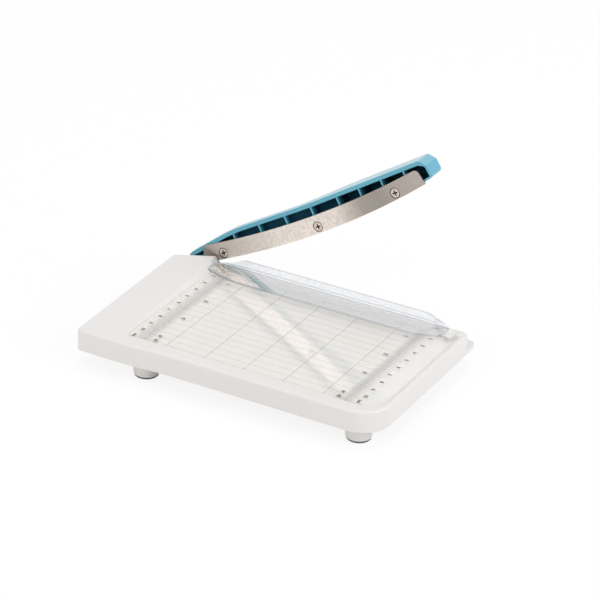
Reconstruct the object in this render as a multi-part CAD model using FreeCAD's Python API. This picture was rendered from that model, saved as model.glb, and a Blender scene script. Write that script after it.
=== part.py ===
import FreeCAD, Part
import math
import os

# Small desk paper trimmer: a moulded base on four feet, a clear ruled table with a steel bed knife
# at its rear edge, and a curved blade on a ribbed plastic arm that swings about a pivot at the left.
#
# The pieces are drawn in the cutting frame and moved to the final frame when they are written.
# Cutting frame: X runs along the cut from the zero of the left ruler, Y = 0 is the plane that the
# blade shears in (the table lies at negative Y), Z = 0 is the level of the table's raised edges.
# All lengths are in millimetres and all angles in degrees.

Vec = FreeCAD.Vector
UP = Vec(0, 0, 1)

# Table and base
ZERO_MARGIN = 4.2
TABLE_LENGTH = 161.6
TABLE_DEPTH = 108.2
TABLE_CORNER = 15.0
PLATE_THICK = 1.8
LEDGE_RISE = 1.0
LEDGE_LEFT_WIDTH = 8.2
LEDGE_RIGHT_WIDTH = 20.4
CARD_THICK = 0.3
FILM = 0.05
BLOCK_LENGTH = 28.5
BLOCK_RISE = 3.0
RAMP_START = 7.0
BLOCK_STEP = 2.0
STEP_RUN = 28.0
STEP_BLEND = 150.0
BEVEL_FRONT = 2.4
BEVEL_REAR = 5.0
SCOOP_LEFT = 13.0
SCOOP_RIGHT = 1.0
SCOOP_MARGIN = 0.5
RIGHT_RIM = 3.1
FRONT_RIM = 8.6
BASE_HEIGHT = 13.0
BASE_EDGE_ROUND = 1.6
FRONT_LEFT_ROUND = 3.6
FRONT_RIGHT_ROUND = 18.0
REAR_ROUND = 4.5
SMALL_ROUND = 0.5
WALL = 2.4
DECK = 2.0
POST_ROOT = 0.5
REAR_SETBACK = 0.3
LOOSE_FIT = 0.15

# Rear rail and blade well
RAIL_DEPTH = 8.3
RAIL_HEIGHT = 3.1
RAIL_ROUND = 3.0
WELL_WIDTH = 2.6
WELL_FLOOR = 1.0
RAIL_START = 13.5

# Bottom cover and feet
COVER_THICK = 2.0
FOOT_TOP_RADIUS = 8.0
FOOT_BASE_RADIUS = 7.5
FOOT_HEIGHT = 7.5
FOOT_EDGE = 0.5
PAD_THICK = 1.5
PAD_STUD_RADIUS = 5.6
PAD_STUD_HEIGHT = 1.0
PAD_EDGE = 0.4
FOOT_WELL_RADIUS = 3.2
FOOT_SEAT = 3.75
FOOT_SCREW_LENGTH = 10.75
PAN_HEAD_HEIGHT = 1.5
FOOT_INSET_LEFT = 41.2
FOOT_INSET_RIGHT = 15.5
FOOT_INSET_FRONT = 11.1
FOOT_INSET_REAR = 19.5
FOOT_BOSS_RADIUS = 4.6
COVER_BOSS_RADIUS = 3.6

# Bed knife
KNIFE_WIDTH = 7.9
KNIFE_THICK = 4.0
KNIFE_LEFT = 4.8
KNIFE_RIGHT = 9.4
KNIFE_CHAMFER = 0.3
KNIFE_CORNER = 1.0
KNIFE_SCREW_LEFT = 3.5
KNIFE_SCREW_RIGHT = 7.0
SHEAR_GAP = 0.1

# Guard
GUARD_THICK = 1.5
GUARD_LIFT = 0.6
GUARD_REACH = 20.6
GUARD_SETBACK = 1.0
GUARD_FOOT_DEPTH = 9.4
GUARD_FOOT_SETBACK = 5.0
GUARD_LEFT_OVERLAP = 3.2
GUARD_LEFT_FOOT = 8.5
GUARD_RIGHT_FOOT = 6.0
GUARD_RAMP = 11.0
GUARD_RIGHT_RAMP = 15.0
GUARD_TAB = 3.2
GUARD_TAB_EDGE = 0.45
GUARD_TAB_NECK = 5.2
GUARD_FRONT_RIGHT = 20.2
GUARD_REAR_LEFT = 9.5
GUARD_RIGHT_GAP = 2.9
GUARD_END_ROUND = 1.0
GUARD_FRONT_BLEND = 40.0
GUARD_RIGHT_BLEND = 12.0
GUARD_NECK_BLEND = 8.0
FENCE_RISE = 3.9
FENCE_RAMP = 11.0
FENCE_SHOULDER = 5.0
FENCE_CORNER_DROP = 1.2
FENCE_CREST = 3.3
FENCE_CREST_DROP = 1.0
PEG_RADIUS = 2.3
PEG_LENGTH = 3.0
PEG_LEFT = 6.8
PEG_RIGHT = 6.2
PEG_SETBACK = 11.6
PEG_PILOT = 2.6
NOTCH_RADIUS = 0.8
NOTCH_LEFT = 55.0
NOTCH_RIGHT = 97.0

# Pivot
PIVOT_INSET = 11.2
PIVOT_DROP = 6.0
LUG_DROP = 3.2
LUG_REACH = 16.5
BOLT_RADIUS = 2.5
BOLT_HEAD_RADIUS = 4.6
BOLT_HEAD_HEIGHT = 3.0
BOLT_HEAD_EDGE = 0.5
BOLT_HEAD_SINK = 0.6
HEX_SOCKET_FLATS = 3.0
HEX_SOCKET_DEPTH = 1.8
WASHER_RADIUS = 5.6
RECESS_RADIUS = 6.4
WASHER_THICK = 0.8
SPRING_THICK = 0.9
SPRING_GAUGE = 0.5
SPRING_RADIUS = 5.0
FRICTION_RADIUS = 4.9
NUT_FLATS = 8.0
NUT_HEIGHT = 4.0
NUT_SEAT = 9.8
NUT_COLLAR = 1.0
NUT_COLLAR_RADIUS = 3.6
BUSH_WALL = 1.0
HUB_TUBE_WALL = 1.4
RUNNING_GAP = 0.05
AXIAL_PLAY = 0.15

# Arm and blade, drawn flat with the pivot at zero: u along the arm, v up
REST_ANGLE = 30.5
ARM_LENGTH = 179.0
HUB_RADIUS = 8.4
HUB_DEPTH = 9.0
ARM_ROOT = 1.4
HUB_MERGE = 0.1
ARM_HEEL_HEIGHT = 13.5
ARM_HEEL_END = 32.0
ARM_HEEL_BEND = 120.0
ARM_WAIST = 88.0
ARM_WAIST_HEIGHT = 13.9
ARM_WAIST_BEND = 500.0
ARM_TIP_DEPTH = 12.8
TIP_CHAMFER = 4.2
TIP_CHAMFER_RUN = 4.5
TIP_LEAN = 0.5
TIP_ROUND = 1.6
ARM_DEPTH = 7.2
GRIP_DEPTH = 13.8
GRIP_START = 78.0
GRIP_FULL = 118.0
GRIP_BEND = 75.0
ARM_TOP_WALL = 2.5
ARM_LOW_WALL = 1.2
ARM_BACK_WALL = 1.8
ARM_TIP_WALL = 1.5
ARM_BACK_ROUND = 2.0
RIB_THICK = 1.0
RIB_SETBACK = 0.3
RIB_FIRST = 31.6
RIB_SPACING = 20.05
RIB_TIP_SPACING = 16.7
RIB_COUNT = 5
RIB_TIP_COUNT = 3
BLADE_THICK = 1.5
BLADE_BELLY = 75.0
BLADE_WIDTH = 11.0
BLADE_DROP = 4.7
BLADE_EDGE_RADIUS = 560.0
BLADE_BACK_RADIUS = 625.0
BLADE_HEEL = 5.0
BLADE_HEEL_HEIGHT = 2.0
BLADE_HEEL_LEAN = 3.6
BLADE_TIP = 173.6
BLADE_TIP_LEAN = 1.5
BLADE_CORNER = 3.0
BLADE_GRIND = 1.1
BLADE_EDGE_MARGIN = 1.2
HEEL_SCREW = 20.5
MIDDLE_SCREW = 92.4
TIP_SCREW = 152.0
SCREW_HEIGHT = 3.9
SCREW_BOSS_RADIUS = 3.4
BLADE_SCREW_LENGTH = 6.0
BLADE_SCREW_PILOT = 5.0

# Screws
SCREW_RADIUS = 1.5
SCREW_HEAD_RADIUS = 2.8
SCREW_LENGTH = 8.0
HEAD_RING = 0.45
HEAD_SINK = 0.1
PILOT_MARGIN = 0.5
SMALL_SCREW_RADIUS = 1.1
SMALL_HEAD_RADIUS = 2.2
SMALL_HEAD_HEIGHT = 1.5
SMALL_HEAD_EDGE = 0.5
SMALL_SCREW_LENGTH = 3.4
CROSS_WIDTH = 0.8
CROSS_DEPTH = 1.0
CROSS_REACH = 0.62

# Drawing aids: how far a cutter passes the face it opens, how close a picked edge lies, and the
# shortest line that an outline keeps
OVER = 1.0
NEAR = 0.01
SHORTEST = 1e-6

# Places that follow from the sizes above
table_left = -ZERO_MARGIN
table_right = table_left + TABLE_LENGTH
table_rear = -REAR_SETBACK
table_front = table_rear - TABLE_DEPTH
base_left = table_left - BLOCK_LENGTH
base_right = table_right + RIGHT_RIM
base_front = table_front - FRONT_RIM
block_front = base_front - BLOCK_STEP
base_rear = table_rear
rail_rear = base_rear + RAIL_DEPTH
base_floor = -BASE_HEIGHT
rail_top = base_floor + RAIL_HEIGHT
plate_low = -PLATE_THICK
card_top = plate_low - FILM
card_low = card_top - CARD_THICK
deck_low = card_low - DECK
knife_top = -LEDGE_RISE
knife_low = knife_top - KNIFE_THICK
knife_rear = -SHEAR_GAP
knife_front = knife_rear - KNIFE_WIDTH
knife_left = table_left - KNIFE_LEFT
knife_right = table_right - KNIFE_RIGHT
plate_rear = knife_front - LOOSE_FIT
pivot_x = base_left + PIVOT_INSET
pivot_z = -PIVOT_DROP
cover_top = base_floor + COVER_THICK
foot_low = base_floor - FOOT_HEIGHT
standing_level = foot_low - PAD_THICK
arm_front = BLADE_THICK
arm_rear = arm_front + ARM_DEPTH
hub_rear = arm_front + HUB_DEPTH
grip_rear = arm_front + GRIP_DEPTH
head_depth = SCREW_HEAD_RADIUS - SCREW_RADIUS

# The final frame stands on the surface under the middle of the trimmer with its arm raised
origin_x = (base_left + base_right) / 2
origin_y = (block_front + grip_rear) / 2


def on_table(x, y):
    return Vec(x, y, 0)


def upright(x, z):
    return Vec(x, 0, z)


def rounded_wire(corners, place):
    """Closed outline through (a, b, radius) corners, with each corner rounded to its radius."""
    starts, ends, arcs = [], [], []
    count = len(corners)
    for i in range(count):
        before = place(*corners[i - 1][:2])
        here = place(*corners[i][:2])
        after = place(*corners[(i + 1) % count][:2])
        radius = corners[i][2]
        if radius == 0:
            starts.append(here)
            ends.append(here)
            arcs.append(None)
            continue
        to_before = (before - here).normalize()
        to_after = (after - here).normalize()
        half = to_before.getAngle(to_after) / 2
        first = here + to_before * (radius / math.tan(half))
        last = here + to_after * (radius / math.tan(half))
        inward = (to_before + to_after).normalize()
        middle = here + inward * (radius / math.sin(half) - radius)
        starts.append(first)
        ends.append(last)
        arcs.append(Part.Arc(first, middle, last).toShape())
    edges = []
    for i in range(count):
        if arcs[i]:
            edges.append(arcs[i])
        leave, reach = ends[i], starts[(i + 1) % count]
        if (reach - leave).Length > SHORTEST:
            edges.append(Part.LineSegment(leave, reach).toShape())
    return Part.Wire(edges)


def slab(corners, low, high):
    """Upright prism over a rounded outline in plan."""
    wire = rounded_wire(corners, on_table)
    wire.translate(Vec(0, 0, low))
    return Part.Face(wire).extrude(Vec(0, 0, high - low))


def box(x0, x1, y0, y1, z0, z1):
    return Part.makeBox(x1 - x0, y1 - y0, z1 - z0, Vec(x0, y0, z0))


def post(radius, x, y, z0, z1):
    return Part.makeCylinder(radius, z1 - z0, Vec(x, y, z0), UP)


def pin(radius, x, z, y0, y1):
    return Part.makeCylinder(radius, y1 - y0, Vec(x, y0, z), Vec(0, 1, 0))


def hexagon(flats, length, x, z, y0):
    """Hexagonal bar along Y, with two of its flats upright."""
    reach = flats / math.sqrt(3)
    points = []
    for i in range(7):
        angle = math.radians(60 * i + 90)
        points.append(Vec(x + reach * math.cos(angle), y0, z + reach * math.sin(angle)))
    return Part.Face(Part.makePolygon(points)).extrude(Vec(0, length, 0))


def cross_recess(head_radius):
    """Cutter for the cross in a screw head whose top lies at zero and looks up."""
    reach = head_radius * CROSS_REACH
    half = CROSS_WIDTH / 2
    one = box(-reach, reach, -half, half, -CROSS_DEPTH, OVER)
    other = box(-half, half, -reach, reach, -CROSS_DEPTH, OVER)
    return one.fuse(other)


def flat_screw(length):
    """Countersunk screw with its head's top at zero and its shank pointing down."""
    head = Part.makeCone(SCREW_RADIUS, SCREW_HEAD_RADIUS, head_depth, Vec(0, 0, -head_depth), UP)
    shank = post(SCREW_RADIUS, 0, 0, -length, -head_depth)
    return head.fuse(shank).cut(cross_recess(SCREW_HEAD_RADIUS)).removeSplitter()


def pan_screw():
    """Small pan-head screw with its seat at zero, its head above and its shank below."""
    head = post(SMALL_HEAD_RADIUS, 0, 0, 0, SMALL_HEAD_HEIGHT)
    top = [e for e in head.Edges if e.BoundBox.ZMin > SMALL_HEAD_HEIGHT - NEAR]
    head = head.makeChamfer(SMALL_HEAD_EDGE, top)
    shank = post(SMALL_SCREW_RADIUS, 0, 0, -SMALL_SCREW_LENGTH, 0)
    cross = cross_recess(SMALL_HEAD_RADIUS)
    cross.translate(Vec(0, 0, SMALL_HEAD_HEIGHT))
    return head.fuse(shank).cut(cross).removeSplitter()


def screw_hole(radius, x, y, z_top, length):
    """Cutter for a countersunk hole that opens upward at z_top."""
    ring = SCREW_HEAD_RADIUS + HEAD_RING
    sink = ring - radius
    cone = Part.makeCone(radius, ring, sink, Vec(x, y, z_top - sink), UP)
    mouth = post(ring, x, y, z_top, z_top + OVER)
    return cone.fuse(mouth).fuse(post(radius, x, y, z_top - length, z_top - sink / 2))


def face_down(shape):
    """Turns a screw over, so that its shank points up."""
    turned = shape.copy()
    turned.rotate(Vec(0, 0, 0), Vec(1, 0, 0), 180)
    return turned


def at(shape, x, y, z):
    moved = shape.copy()
    moved.translate(Vec(x, y, z))
    return moved


def edges_near(shape, test):
    return [edge for edge in shape.Edges if test(edge.BoundBox)]


# Places of the feet, screws and pegs

def foot_places():
    xs = (base_left + FOOT_INSET_LEFT, base_right - FOOT_INSET_RIGHT)
    rear = base_rear - FOOT_INSET_REAR
    return [(xs[0], block_front + FOOT_INSET_FRONT), (xs[1], base_front + FOOT_INSET_FRONT),
            (xs[0], rear), (xs[1], rear)]


def cover_places():
    x = (base_left + base_right) / 2
    return [(x, base_front + FOOT_INSET_FRONT), (x, base_rear - FOOT_INSET_REAR)]


def knife_places():
    y = (knife_front + knife_rear) / 2
    return [(knife_left + KNIFE_SCREW_LEFT, y), (knife_right - KNIFE_SCREW_RIGHT, y)]


def peg_places():
    return [(guard_left() + PEG_LEFT, -PEG_SETBACK), (guard_right() - PEG_RIGHT, -PEG_SETBACK)]


# Base

def base_outline(inset):
    """Plan of the base: the block's front stands proud and runs into the table's front."""
    front = base_front + inset
    return [
        (base_left + inset, block_front + inset, FRONT_LEFT_ROUND - inset),
        (table_left + ZERO_MARGIN, block_front + inset, STEP_BLEND),
        (table_left + ZERO_MARGIN + STEP_RUN, front, STEP_BLEND),
        (base_right - inset, front, FRONT_RIGHT_ROUND - inset),
        (base_right - inset, base_rear - inset, max(REAR_ROUND - inset, SMALL_ROUND)),
        (base_left + inset, base_rear - inset, SMALL_ROUND),
    ]


def block_ramp():
    """Raised block: its top climbs to the rear, and its right side leans down to the table."""
    left, front, rear = base_left - OVER, block_front + RAMP_START, base_rear
    crest_front, crest_rear = table_left - BEVEL_FRONT, table_left - BEVEL_REAR
    foot = [Vec(left, front, -BLOCK_RISE), Vec(crest_front, front, -BLOCK_RISE),
            Vec(table_left, rear, -BLOCK_RISE), Vec(left, rear, -BLOCK_RISE)]
    level = [Vec(v.x, v.y, 0) for v in foot]
    crest = [Vec(crest_rear, rear, BLOCK_RISE), Vec(left, rear, BLOCK_RISE)]
    polygons = [
        foot,
        [foot[0], foot[1], level[1], level[0]],
        [foot[1], foot[2], level[2], level[1]],
        [foot[2], foot[3], crest[1], crest[0], level[2]],
        [foot[3], foot[0], level[0], crest[1]],
        [level[1], level[2], crest[0]],
        [level[0], level[1], crest[0], crest[1]],
    ]
    faces = [Part.Face(Part.makePolygon(points + points[:1])) for points in polygons]
    return Part.Solid(Part.Shell(faces))


def outer_body():
    """Base prism with the raised block, its outer top edge rounded."""
    block = block_ramp().common(slab(base_outline(0), base_floor, BLOCK_RISE + OVER))
    solid = slab(base_outline(0), base_floor, 0).fuse(block).removeSplitter()
    left = base_left + FRONT_LEFT_ROUND + NEAR
    right = base_right - FRONT_RIGHT_ROUND - NEAR
    rim = edges_near(solid, lambda b: b.ZMin > -NEAR and b.YMin < base_rear - SMALL_ROUND
                     and (b.XMax < left or b.XMin > right or b.YMax < base_front + NEAR))
    return solid.makeFillet(BASE_EDGE_ROUND, rim)


def scoop():
    """Cutter behind the block, where its rear edge runs oblique to clear the arm's root."""
    edge = table_left - BEVEL_REAR - SCOOP_MARGIN
    return slab([
        (base_left - OVER, base_rear - SCOOP_LEFT, 0),
        (edge, base_rear - SCOOP_RIGHT, 0),
        (edge, base_rear + OVER, 0),
        (base_left - OVER, base_rear + OVER, 0),
    ], -LUG_DROP, BLOCK_RISE + OVER)


def rear_rail():
    """Low rail behind the table, with the well that takes the lowered blade."""
    start = pivot_x + RAIL_START
    rail = slab([
        (start, base_rear - WALL, 0),
        (base_right, base_rear - WALL - REAR_ROUND, 0),
        (base_right, rail_rear, RAIL_ROUND),
        (start, rail_rear, SMALL_ROUND),
    ], base_floor, rail_top)
    well = box(start - OVER, base_right - WALL, base_rear, base_rear + WELL_WIDTH,
               base_floor + WELL_FLOOR, 0)
    return rail.cut(well)


def base_hollow():
    """Inside of the base, open below."""
    inner = base_outline(WALL)
    strip = knife_front - WALL
    low_room = slab(inner, base_floor - OVER, knife_low - DECK)
    room = slab(inner, base_floor - OVER, deck_low)
    room = room.common(box(table_left, base_right, block_front, strip, base_floor - OVER, 0))
    under_ramp = block_ramp()
    under_ramp.translate(Vec(0, 0, -WALL))
    block = slab(inner, base_floor - OVER, -WALL)
    block = block.fuse(under_ramp.common(slab(inner, base_floor, BLOCK_RISE)))
    block = block.common(box(base_left, table_left - BEVEL_REAR - WALL, block_front,
                             base_rear - LUG_REACH, base_floor - OVER, BLOCK_RISE))
    lug = box(base_left, pivot_x + HUB_RADIUS + WALL, base_rear - LUG_REACH, base_rear,
              cover_top, BLOCK_RISE)
    return low_room.fuse(room).fuse(block).cut(lug)


def pivot_bore():
    """Bolt hole through the lug, and the slot from below that takes the nut."""
    bore = pin(BOLT_RADIUS + LOOSE_FIT, pivot_x, pivot_z, base_rear - LUG_REACH - OVER,
               base_rear + OVER)
    slot_rear = base_rear - NUT_SEAT
    slot_depth = NUT_HEIGHT + NUT_COLLAR + 2 * LOOSE_FIT
    wide = NUT_FLATS + 2 * LOOSE_FIT
    nut = hexagon(wide, slot_depth, pivot_x, pivot_z, slot_rear - slot_depth)
    slot = box(pivot_x - wide / 2, pivot_x + wide / 2, slot_rear - slot_depth, slot_rear,
               base_floor, pivot_z)
    return bore.fuse(nut).fuse(slot)


def base_bosses():
    """Screw posts under the deck."""
    top = deck_low + POST_ROOT
    solids = [post(FOOT_BOSS_RADIUS, x, y, cover_top, top) for x, y in foot_places()]
    solids += [post(COVER_BOSS_RADIUS, x, y, cover_top, top) for x, y in cover_places()]
    top = knife_low - DECK + POST_ROOT
    solids += [post(COVER_BOSS_RADIUS, x, y, cover_top, top) for x, y in knife_places()]
    return solids


def base_housing():
    solid = outer_body().cut(scoop())
    solid = solid.fuse(rear_rail())
    solid = solid.cut(base_hollow())
    solid = solid.fuse(base_bosses())
    solid = solid.cut(slab(table_outline(-LOOSE_FIT), card_low, 0))
    solid = solid.cut(box(knife_left - LOOSE_FIT, knife_right + LOOSE_FIT, plate_rear,
                          base_rear + OVER, knife_low, BLOCK_RISE + OVER))
    solid = solid.cut(guard_seat())
    solid = solid.cut(pivot_bore())
    pilot_end = cover_top + SCREW_LENGTH - head_depth
    for x, y in foot_places() + cover_places():
        solid = solid.cut(post(SCREW_RADIUS, x, y, cover_top - OVER, pilot_end))
    pilot_end = knife_top - SCREW_LENGTH - PILOT_MARGIN
    for x, y in knife_places():
        solid = solid.cut(post(SCREW_RADIUS, x, y, pilot_end, knife_low + OVER))
    for x, y in peg_places():
        solid = solid.cut(post(PEG_RADIUS + LOOSE_FIT, x, y, -PEG_LENGTH - LOOSE_FIT, OVER))
        solid = solid.cut(post(SMALL_SCREW_RADIUS + LOOSE_FIT, x, y, deck_low - OVER, 0))
        solid = solid.cut(post(SMALL_HEAD_RADIUS + HEAD_RING, x, y, base_floor, deck_low))
    return solid.removeSplitter()


# Table

def table_outline(inset):
    return [
        (table_left + inset, table_front + inset, 0),
        (table_right - inset, table_front + inset, TABLE_CORNER - inset),
        (table_right - inset, plate_rear - inset, 0),
        (table_left + inset, plate_rear - inset, 0),
    ]


def table_plate():
    """Clear plate whose left and right edges stand above its tray."""
    plate = slab(table_outline(0), plate_low, 0)
    left = table_left + LEDGE_LEFT_WIDTH
    right = table_right - LEDGE_RIGHT_WIDTH
    run = LEDGE_RISE + OVER
    tray = rounded_wire([
        (left, -LEDGE_RISE, 0), (right, -LEDGE_RISE, 0),
        (right + run, OVER, 0), (left - run, OVER, 0),
    ], upright)
    tray.translate(Vec(0, table_front - OVER, 0))
    plate = plate.cut(Part.Face(tray).extrude(Vec(0, TABLE_DEPTH + 2 * OVER, 0)))
    for x, y in peg_places():
        plate = plate.cut(post(PEG_RADIUS + LOOSE_FIT, x, y, plate_low - OVER, OVER))
    return plate


def grid_card():
    """White card under the clear plate."""
    card = slab(table_outline(0), card_low, card_top)
    for x, y in peg_places():
        card = card.cut(post(PEG_RADIUS + LOOSE_FIT, x, y, card_low - OVER, OVER))
    return card


def bed_knife():
    bar = box(knife_left, knife_right, knife_front, knife_rear, knife_low, knife_top)
    middle = (knife_front + knife_rear) / 2
    ends = edges_near(bar, lambda b: b.YLength < NEAR and b.XLength < NEAR and b.YMax < middle)
    bar = bar.makeFillet(KNIFE_CORNER, ends)
    front = edges_near(bar, lambda b: b.ZMin > knife_top - NEAR and b.YMax < middle
                       and b.XLength > KNIFE_WIDTH)
    bar = bar.makeChamfer(KNIFE_CHAMFER, front)
    for x, y in knife_places():
        bar = bar.cut(screw_hole(SCREW_RADIUS + LOOSE_FIT, x, y, knife_top, KNIFE_THICK + OVER))
    return bar


def bed_knife_screws():
    one = flat_screw(SCREW_LENGTH)
    return [at(one, x, y, knife_top - HEAD_SINK) for x, y in knife_places()]


# Guard

def guard_left():
    return table_left - GUARD_LEFT_OVERLAP


def guard_right():
    return table_right - GUARD_RIGHT_GAP


def guard_rear_corner():
    """Where the guard's rear edge turns in towards its right foot."""
    return guard_right() - GUARD_TAB - GUARD_RIGHT_FOOT - GUARD_RIGHT_RAMP / 2


def guard_outline(inset):
    """Plan of the guard: long panel that narrows to a foot at each end."""
    left, right = guard_left() + inset, guard_right() - inset
    rear = -GUARD_SETBACK - inset
    front = -GUARD_REACH - GUARD_SETBACK + inset
    foot_rear = -GUARD_FOOT_SETBACK - inset
    foot_front = -GUARD_FOOT_SETBACK - GUARD_FOOT_DEPTH + inset
    return [
        (left, foot_front, GUARD_END_ROUND),
        (left + GUARD_LEFT_FOOT + GUARD_RAMP, front, GUARD_FRONT_BLEND),
        (right - GUARD_FRONT_RIGHT, front, GUARD_RIGHT_BLEND),
        (right - GUARD_TAB_NECK, foot_front, GUARD_NECK_BLEND),
        (right, foot_front, GUARD_END_ROUND),
        (right, foot_rear, GUARD_END_ROUND),
        (right - GUARD_TAB, foot_rear, 0),
        (guard_rear_corner(), rear, 0),
        (left + GUARD_REAR_LEFT, rear, 0),
        (left, foot_rear, GUARD_END_ROUND),
    ]


def guard_section():
    """Long section of the guard's panel: feet on the table's raised edges, the rest lifted."""
    left, right = guard_left() - OVER, guard_right() + OVER
    foot_end = guard_left() + GUARD_LEFT_FOOT
    ramp_end = foot_end + GUARD_RAMP
    tab = guard_right() - GUARD_TAB
    right_foot = tab - GUARD_RIGHT_FOOT
    right_ramp = right_foot - GUARD_RIGHT_RAMP
    low, high, thick = FILM, GUARD_LIFT, GUARD_THICK
    return [
        (left, low, 0), (foot_end, low, 0), (ramp_end, high, 0), (right_ramp, high, 0),
        (right_foot, low, 0), (right, low, 0), (right, GUARD_TAB_EDGE, 0),
        (guard_right(), GUARD_TAB_EDGE, 0), (tab, thick, 0),
        (right_foot, thick, 0), (right_ramp, high + thick, 0), (ramp_end, high + thick, 0),
        (foot_end, thick, 0), (left, thick, 0),
    ]


def guard_fence():
    """Upright lip along the guard's rear edge, ramped down at both ends."""
    left = guard_left() + GUARD_LEFT_FOOT
    top = GUARD_LIFT + GUARD_THICK + FENCE_RISE
    root = GUARD_THICK / 2
    corner = guard_rear_corner()
    wire = rounded_wire([
        (left, root, 0), (corner, root, 0), (corner, top - FENCE_CORNER_DROP, 0),
        (corner - FENCE_SHOULDER, top, 0), (left + FENCE_RAMP, top, 0),
        (left + FENCE_RAMP - FENCE_CREST, top - FENCE_CREST_DROP, 0), (left, GUARD_THICK, 0),
    ], upright)
    wire.translate(Vec(0, -GUARD_SETBACK - GUARD_THICK, 0))
    straight = Part.Face(wire).extrude(Vec(0, GUARD_THICK, 0))
    near = Vec(corner, -GUARD_SETBACK, 0)
    far = Vec(guard_right() - GUARD_TAB, -GUARD_FOOT_SETBACK, 0)
    points = [near + UP * root, far + UP * root, far + UP * GUARD_THICK,
              near + UP * (top - FENCE_CORNER_DROP)]
    inward = (far - near).cross(UP).normalize() * GUARD_THICK
    slanted = Part.Face(Part.makePolygon(points + points[:1])).extrude(inward)
    return straight.fuse(slanted)


def guard():
    """Clear finger guard over the cut."""
    face = Part.Face(rounded_wire(guard_section(), upright))
    front = -GUARD_REACH - GUARD_SETBACK
    top = GUARD_LIFT + GUARD_THICK + OVER
    panel = face.extrude(Vec(0, -front, 0))
    panel.translate(Vec(0, front, 0))
    panel = panel.common(slab(guard_outline(0), -OVER, top))
    for x in (NOTCH_LEFT, NOTCH_RIGHT):
        panel = panel.cut(post(NOTCH_RADIUS, guard_left() + x, front, -OVER, top))
    solid = panel.fuse(guard_fence())
    for x, y in peg_places():
        solid = solid.fuse(post(PEG_RADIUS, x, y, -PEG_LENGTH, GUARD_THICK / 2))
        solid = solid.cut(post(SMALL_SCREW_RADIUS, x, y, -PEG_LENGTH - OVER, PEG_PILOT - PEG_LENGTH))
    return solid.removeSplitter()


def guard_seat():
    """Notch in the block's leaning side for the guard's left foot."""
    high = BLOCK_RISE + OVER
    side = box(guard_left() - OVER, table_left + OVER, -GUARD_REACH, 0, 0, high)
    return slab(guard_outline(-LOOSE_FIT), 0, high).common(side)


def guard_screws():
    one = face_down(pan_screw())
    return [at(one, x, y, deck_low) for x, y in peg_places()]


# Underside

def bottom_cover():
    inset = WALL + LOOSE_FIT
    cover = slab(base_outline(inset), base_floor, cover_top)
    for x, y in foot_places():
        cover = cover.cut(post(SCREW_RADIUS + LOOSE_FIT, x, y, base_floor - OVER, cover_top + OVER))
    for x, y in cover_places():
        hole = screw_hole(SCREW_RADIUS + LOOSE_FIT, 0, 0, 0, COVER_THICK + OVER)
        cover = cover.cut(at(face_down(hole), x, y, base_floor))
    return cover


def cover_screws():
    one = face_down(flat_screw(SCREW_LENGTH))
    return [at(one, x, y, base_floor + HEAD_SINK) for x, y in cover_places()]


def foot(x, y):
    """Tapered foot with a well for its screw's head and a socket for its rubber pad."""
    body = Part.makeCone(FOOT_BASE_RADIUS, FOOT_TOP_RADIUS, FOOT_HEIGHT, Vec(x, y, foot_low), UP)
    body = body.makeChamfer(FOOT_EDGE, edges_near(body, lambda b: b.ZMin > base_floor - NEAR))
    socket = post(PAD_STUD_RADIUS + RUNNING_GAP, x, y, foot_low - OVER, foot_low + PAD_STUD_HEIGHT)
    well = post(FOOT_WELL_RADIUS, x, y, foot_low, base_floor - FOOT_SEAT)
    hole = post(SCREW_RADIUS + LOOSE_FIT, x, y, foot_low, base_floor + OVER)
    return body.cut(socket).cut(well).cut(hole)


def foot_pad(x, y):
    disc = post(FOOT_BASE_RADIUS - PAD_EDGE, x, y, standing_level, foot_low)
    disc = disc.makeChamfer(PAD_EDGE, edges_near(disc, lambda b: b.ZMax < standing_level + NEAR))
    return disc.fuse(post(PAD_STUD_RADIUS, x, y, foot_low, foot_low + PAD_STUD_HEIGHT)).removeSplitter()


def foot_screws():
    """Pan-head screws that clamp the feet and the cover to the base's posts."""
    seat = base_floor - FOOT_SEAT
    solids = []
    for x, y in foot_places():
        head = post(SCREW_HEAD_RADIUS, x, y, seat - PAN_HEAD_HEIGHT, seat)
        shank = post(SCREW_RADIUS, x, y, seat, seat + FOOT_SCREW_LENGTH)
        solids.append(head.fuse(shank).removeSplitter())
    return solids


# Pivot

def pivot_bolt():
    under_head = bolt_seat() + AXIAL_PLAY + WASHER_THICK + SPRING_THICK
    end = base_rear - NUT_SEAT - NUT_HEIGHT - NUT_COLLAR
    shank = pin(BOLT_RADIUS, pivot_x, pivot_z, end, under_head)
    head = pin(BOLT_HEAD_RADIUS, pivot_x, pivot_z, under_head, under_head + BOLT_HEAD_HEIGHT)
    rim = edges_near(head, lambda b: b.YMin > under_head + BOLT_HEAD_HEIGHT - NEAR)
    head = head.makeChamfer(BOLT_HEAD_EDGE, rim)
    socket = hexagon(HEX_SOCKET_FLATS, HEX_SOCKET_DEPTH + OVER, pivot_x, pivot_z,
                     under_head + BOLT_HEAD_HEIGHT - HEX_SOCKET_DEPTH)
    return head.fuse(shank).cut(socket).removeSplitter()


def bolt_seat():
    """Level of the floor of the hub's rear recess."""
    return hub_rear - WASHER_THICK - SPRING_THICK - AXIAL_PLAY - BOLT_HEAD_SINK


def ring(outer, inner, y0, y1):
    hole = pin(inner, pivot_x, pivot_z, y0 - OVER, y1 + OVER)
    return pin(outer, pivot_x, pivot_z, y0, y1).cut(hole)


def pivot_washer():
    start = bolt_seat() + AXIAL_PLAY
    return ring(WASHER_RADIUS, BOLT_RADIUS + LOOSE_FIT, start, start + WASHER_THICK)


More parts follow.
